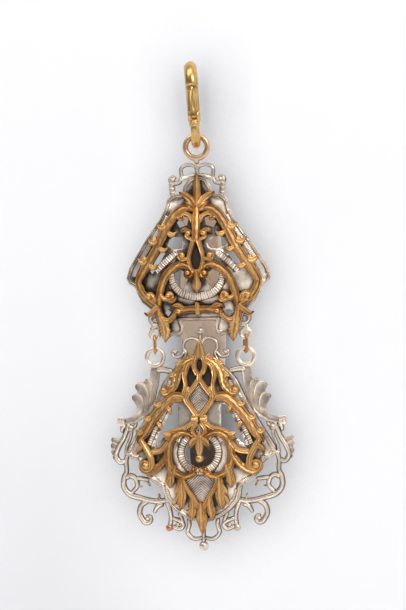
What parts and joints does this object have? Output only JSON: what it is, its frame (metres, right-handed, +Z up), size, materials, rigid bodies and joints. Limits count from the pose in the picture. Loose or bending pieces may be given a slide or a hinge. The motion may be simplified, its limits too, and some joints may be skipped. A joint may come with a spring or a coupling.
{
  "type": "chatelaine",
  "caption": "Waist chatelaine of silver with gilt scrollwork: snap hook, two domed pierced plates hung by links, and a belt hook behind.",
  "frame": {"origin": "hang point, inside the top of the snap hook's bow", "axes": "+X to the wearer's left as seen from the front, +Z up, the ornamented front faces -Y"},
  "size_m": [0.057, 0.0152, 0.1493],
  "materials": {
    "silver": "worn polished silver, dark in its hollows",
    "gilt": "cast gilt metal, orange gold, matt in its hollows",
    "brass": "smooth gilt brass",
    "copper_gilt": "smooth reddish gilt"
  },
  "bodies": {
    "hook": {"snap_hook": "brass", "gate_pin": "brass"},
    "gate": {"snap_gate": "brass"},
    "upper": {"top_ring": "copper_gilt", "upper_plate": "silver", "upper_overlay": "gilt", "belt_hook": "silver", "link_left": "gilt", "link_right": "gilt"},
    "lower": {"lower_plate": "silver", "lower_frame": "silver", "lower_overlay": "gilt"}
  },
  "joints": [
    {"name": "gate_hinge", "type": "hinge", "parent": "hook", "child": "gate", "pos_m": [0.00151, -0.00494, -0.01293], "axis": [0.9873, 0.1478, 0.0587], "range_deg": [-25, 0], "stiffness_Nm_per_rad": 0.02, "springref_deg": 5.73},
    {"name": "upper_swing", "type": "hinge", "parent": "hook", "child": "upper", "pos_m": [0.00132, 0, -0.01876], "axis": [1, 0, 0], "range_deg": [-50, 50]},
    {"name": "lower_swing", "type": "hinge", "parent": "upper", "child": "lower", "pos_m": [0.00132, 0.0004, -0.08359], "axis": [1, 0, 0], "range_deg": [-60, 6]}
  ]
}
